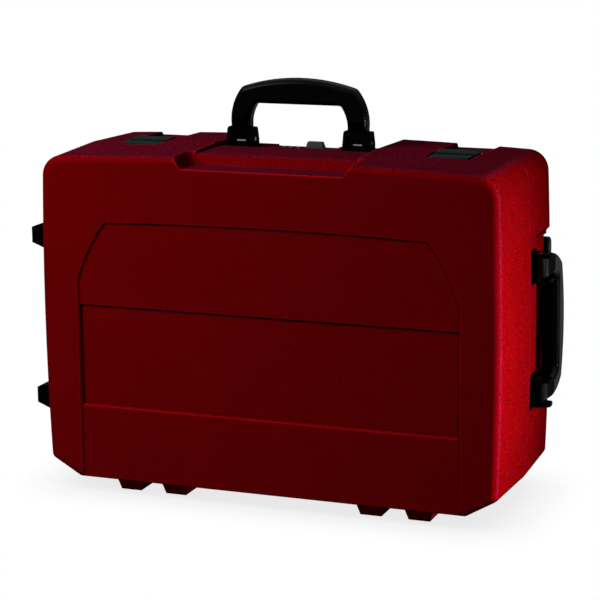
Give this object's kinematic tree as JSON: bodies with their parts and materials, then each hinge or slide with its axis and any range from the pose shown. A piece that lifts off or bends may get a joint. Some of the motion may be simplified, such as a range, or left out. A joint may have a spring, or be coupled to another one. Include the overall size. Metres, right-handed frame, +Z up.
{
  "type": "socket wrench set in case",
  "caption": "Moulded suitcase-style tool case with carry handles, pull handle, wheels, latches and lock, holding a socket wrench set in cut foam.",
  "frame": {"origin": "on the floor under the middle of the case, in the plane where the two shells meet", "axes": "+X along the width towards the pull handle, +Y from the lid to the rear shell, +Z up"},
  "size_m": [0.6155, 0.233, 0.4945],
  "materials": {
    "shell_red": "blow-moulded polyethylene with a fine grain",
    "handle_black": "moulded black nylon, half gloss",
    "button_grey": "dark grey nylon",
    "latch_grey": "dark grey moulded plastic",
    "pin_steel": "drawn steel",
    "tube_aluminium": "anodised tube",
    "dial_metal": "blackened brass",
    "lock_chrome": "bright chrome plating",
    "wheel_rubber": "solid black rubber",
    "board_black": "black sheet plastic",
    "foam_black": "closed-cell foam, cut",
    "tool_chrome": "satin chrome plating",
    "grip_red": "moulded grip"
  },
  "bodies": {
    "base": {"extension_bar_long": "tool_chrome", "extension_bar_short": "tool_chrome", "hinge_pins": "pin_steel", "latch_pins": "pin_steel", "lock_dial_axle": "pin_steel", "lock_housing": "handle_black", "pull_collars": "handle_black", "pull_outer_tubes": "tube_aluminium", "ratchet_body": "tool_chrome", "ratchet_cover": "tool_chrome", "ratchet_grip": "grip_red", "rear_shell": "shell_red", "side_handle_bracket_lower": "handle_black", "side_handle_bracket_upper": "handle_black", "side_handle_pins": "pin_steel", "sliding_bar": "tool_chrome", "sockets_large": "tool_chrome", "sockets_medium": "tool_chrome", "sockets_small": "tool_chrome", "spark_plug_sockets": "tool_chrome", "spinner_grip": "grip_red", "spinner_shaft": "tool_chrome", "top_handle_bracket_left": "handle_black", "top_handle_bracket_right": "handle_black", "top_handle_pins": "pin_steel", "tray_board": "board_black", "tray_foam": "foam_black", "tray_screws": "pin_steel", "wheel_axles": "pin_steel", "wheel_cradle_lower": "handle_black", "wheel_cradle_upper": "handle_black"},
    "lid": {"front_shell": "shell_red", "end_foot_lower": "handle_black", "end_foot_upper": "handle_black", "end_foot_screws": "pin_steel", "lid_board": "board_black", "lid_foam": "foam_black", "lid_screws": "pin_steel"},
    "top_handle": {"top_handle": "handle_black"},
    "side_handle": {"side_handle": "handle_black"},
    "latch_left": {"latch_lever_left": "latch_grey"},
    "latch_right": {"latch_lever_right": "latch_grey"},
    "dial_1": {"lock_dial_1": "dial_metal"},
    "dial_2": {"lock_dial_2": "dial_metal"},
    "dial_3": {"lock_dial_3": "dial_metal"},
    "lock_slide": {"lock_slide": "lock_chrome"},
    "pull_handle": {"pull_grip": "handle_black", "pull_inner_tubes": "tube_aluminium"},
    "pull_button": {"pull_button": "button_grey"},
    "wheel_lower": {"wheel_tyre_lower": "wheel_rubber", "wheel_hub_lower": "button_grey"},
    "wheel_upper": {"wheel_tyre_upper": "wheel_rubber", "wheel_hub_upper": "button_grey"},
    "ratchet_drive": {"ratchet_drive": "tool_chrome"},
    "ratchet_lever": {"ratchet_lever": "tool_chrome"},
    "ratchet_button": {"ratchet_button": "tool_chrome"},
    "sliding_head": {"sliding_head": "tool_chrome"}
  },
  "joints": [
    {"name": "lid_hinge", "type": "hinge", "parent": "base", "child": "lid", "pos_m": [0, 0, 0.0065], "axis": [1, 0, 0], "range_deg": [0, 165]},
    {"name": "top_handle_fold", "type": "hinge", "parent": "base", "child": "top_handle", "pos_m": [0, 0.013, 0.4195], "axis": [1, 0, 0], "range_deg": [-85, 80]},
    {"name": "side_handle_fold", "type": "hinge", "parent": "base", "child": "side_handle", "pos_m": [0.2945, 0.018, 0.209], "axis": [0, 0, -1], "range_deg": [0, 90]},
    {"name": "latch_left_lift", "type": "hinge", "parent": "base", "child": "latch_left", "pos_m": [-0.195, 0.03, 0.41], "axis": [-1, 0, 0], "range_deg": [0, 100]},
    {"name": "latch_right_lift", "type": "hinge", "parent": "base", "child": "latch_right", "pos_m": [0.195, 0.03, 0.41], "axis": [-1, 0, 0], "range_deg": [0, 100]},
    {"name": "dial_1_turn", "type": "hinge", "parent": "base", "child": "dial_1", "pos_m": [-0.028, 0.033, 0.4044], "axis": [1, 0, 0], "continuous": true},
    {"name": "dial_2_turn", "type": "hinge", "parent": "base", "child": "dial_2", "pos_m": [-0.019, 0.033, 0.4044], "axis": [1, 0, 0], "continuous": true},
    {"name": "dial_3_turn", "type": "hinge", "parent": "base", "child": "dial_3", "pos_m": [-0.01, 0.033, 0.4044], "axis": [1, 0, 0], "continuous": true},
    {"name": "lock_slide_shift", "type": "slide", "parent": "base", "child": "lock_slide", "axis": [1, 0, 0], "range_m": [0, 0.008]},
    {"name": "pull_handle_slide", "type": "slide", "parent": "base", "child": "pull_handle", "axis": [1, 0, 0], "range_m": [0, 0.38]},
    {"name": "pull_button_press", "type": "slide", "parent": "pull_handle", "child": "pull_button", "axis": [-1, 0, 0], "range_m": [0, 0.0025], "stiffness_N_per_m": 600},
    {"name": "wheel_lower_roll", "type": "hinge", "parent": "base", "child": "wheel_lower", "pos_m": [-0.2735, 0.081, 0.109], "axis": [0, 0, 1], "continuous": true},
    {"name": "wheel_upper_roll", "type": "hinge", "parent": "base", "child": "wheel_upper", "pos_m": [-0.2735, 0.081, 0.309], "axis": [0, 0, 1], "continuous": true},
    {"name": "ratchet_drive_turn", "type": "hinge", "parent": "base", "child": "ratchet_drive", "pos_m": [-0.215, 0.006, 0.225], "axis": [0, 1, 0], "continuous": true},
    {"name": "ratchet_lever_swing", "type": "hinge", "parent": "base", "child": "ratchet_lever", "pos_m": [-0.2045, -0.006, 0.225], "axis": [0, 1, 0], "range_deg": [-25, 25]},
    {"name": "ratchet_button_press", "type": "slide", "parent": "base", "child": "ratchet_button", "axis": [0, 1, 0], "range_m": [0, 0.0012], "stiffness_N_per_m": 400},
    {"name": "sliding_head_shift", "type": "slide", "parent": "base", "child": "sliding_head", "axis": [1, 0, 0], "range_m": [-0.085, 0.085]}
  ]
}
